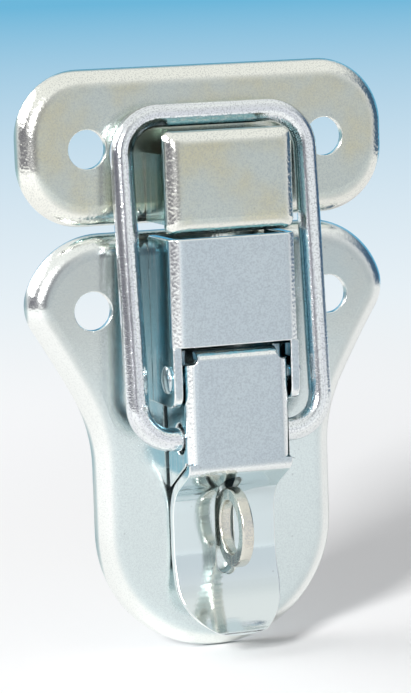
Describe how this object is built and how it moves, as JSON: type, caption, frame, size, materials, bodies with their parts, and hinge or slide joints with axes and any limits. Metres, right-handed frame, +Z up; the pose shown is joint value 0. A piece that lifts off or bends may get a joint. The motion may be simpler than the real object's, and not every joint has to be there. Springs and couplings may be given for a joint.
{
  "type": "padlockable toggle latch",
  "caption": "Zinc-plated steel over-centre toggle latch with a wire bail, a stepped lever with finger lip, a padlock eye through the lever, and a separate keeper plate with hook.",
  "frame": {"origin": "midway between the base plate's two screw holes, on the mounting plane behind its rim", "axes": "+X across the latch to the right seen from the front, +Y into the wall or case, +Z up along the latch from the lever's tail to the keeper"},
  "size_m": [0.05, 0.0136, 0.0763],
  "materials": {
    "bright_zinc": "bright zinc plate with blue passivation",
    "satin_zinc": "satin zinc plate, blue-grey, brighter at the bends",
    "warm_zinc": "zinc plate with faint yellow patches",
    "wire_zinc": "zinc-plated drawn wire",
    "eye_zinc": "zinc plate over a sheared edge, slightly warm",
    "rivet_zinc": "zinc plate over a peened head"
  },
  "bodies": {
    "base": {"base_plate": "bright_zinc", "lever_housing": "satin_zinc", "pivot_rivet": "rivet_zinc", "padlock_eye": "eye_zinc", "keeper_plate": "warm_zinc", "keeper_hook": "warm_zinc"},
    "lever": {"lever": "satin_zinc"},
    "bail": {"bail": "wire_zinc"}
  },
  "joints": [
    {"name": "lever_open", "type": "hinge", "parent": "base", "child": "lever", "pos_m": [0, -0.009, -0.0087], "axis": [-1, 0, 0], "range_deg": [0, 105]},
    {"name": "bail_swing", "type": "hinge", "parent": "lever", "child": "bail", "pos_m": [0, -0.0085, -0.0165], "axis": [-1, 0, 0], "range_deg": [-120, 0]}
  ],
  "couplings": [
    {"joint": "bail_swing", "follows": "lever_open", "ratio": -1.1}
  ]
}
